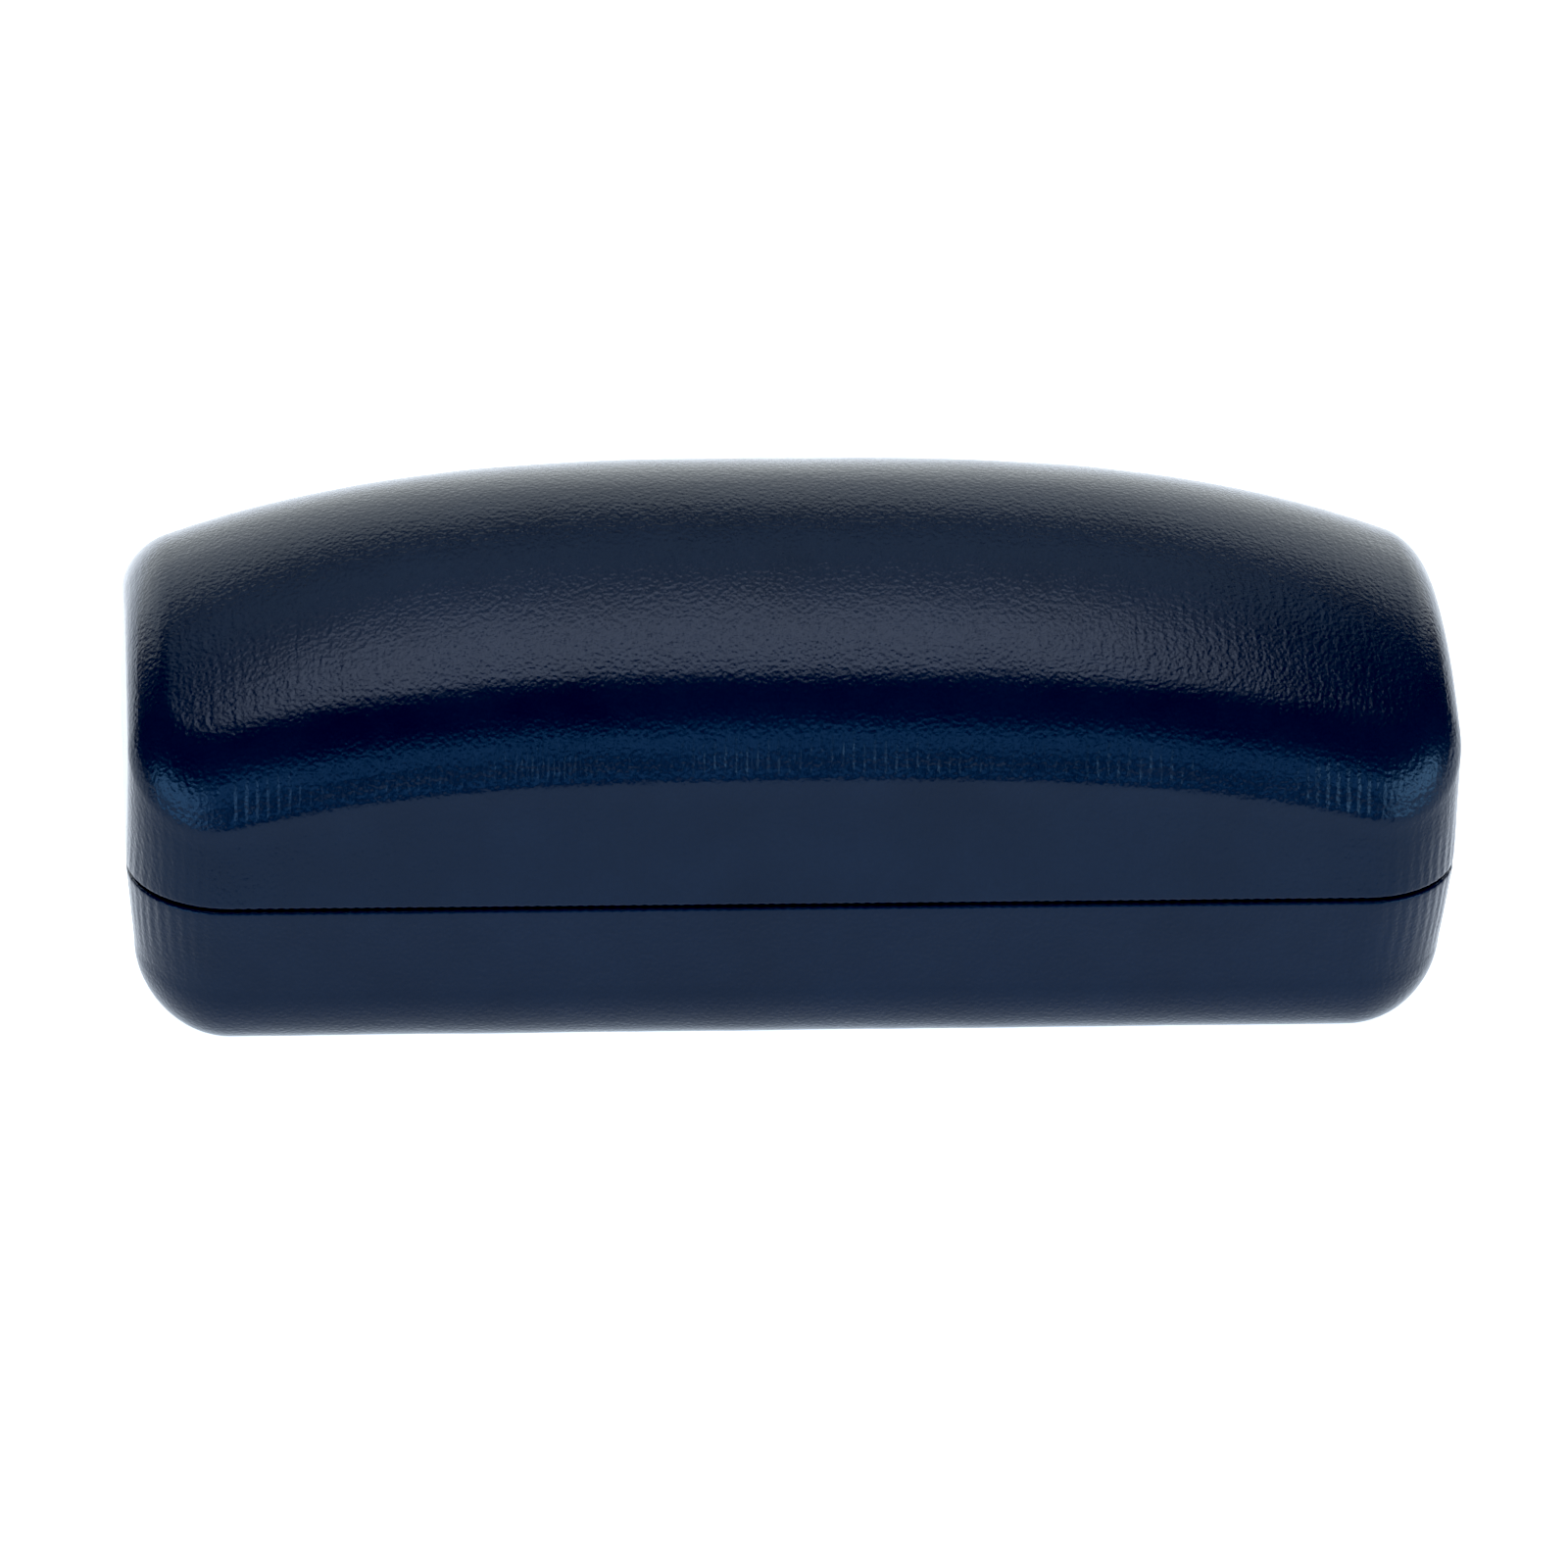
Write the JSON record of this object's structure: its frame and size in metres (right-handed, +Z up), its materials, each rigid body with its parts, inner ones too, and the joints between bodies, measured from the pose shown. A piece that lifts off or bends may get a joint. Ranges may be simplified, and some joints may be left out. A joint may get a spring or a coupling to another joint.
{
  "type": "eyeglasses case",
  "caption": "Hard clamshell eyeglasses case with a domed lid, a shallow base, a lined inside and a snap hinge at the back.",
  "frame": {"origin": "on the resting plane, under the middle of the bounding box", "axes": "+X along the case's length, -Y towards the opening front, +Z up"},
  "size_m": [0.162, 0.0635, 0.0617],
  "materials": {
    "leatherette": "navy ribbed leatherette, satin",
    "shell_steel": "pressed sheet steel, dull",
    "hinge_steel": "nickel-plated steel, satin",
    "spring_steel": "tempered spring steel, satin",
    "velour": "charcoal velour, short pile"
  },
  "bodies": {
    "base": {"base_cover": "leatherette", "base_shell": "shell_steel", "base_lining": "velour", "base_cushion": "velour", "hinge_base_leaf": "hinge_steel", "hinge_pin": "hinge_steel", "base_rivet_left": "hinge_steel", "base_rivet_middle": "hinge_steel", "base_rivet_right": "hinge_steel", "snap_spring_left": "spring_steel", "snap_spring_right": "spring_steel", "hinge_band": "velour"},
    "lid": {"lid_cover": "leatherette", "lid_shell": "shell_steel", "lid_lining": "velour", "lid_cushion": "velour", "hinge_lid_leaf": "hinge_steel", "lid_rivet_left": "hinge_steel", "lid_rivet_middle": "hinge_steel", "lid_rivet_right": "hinge_steel"}
  },
  "joints": [
    {"name": "lid_hinge", "type": "hinge", "parent": "base", "child": "lid", "pos_m": [0, 0.03025, 0.0221], "axis": [-1, 0, 0], "range_deg": [0, 105], "deforming": ["snap_spring_left", "snap_spring_right", "hinge_band"]}
  ]
}
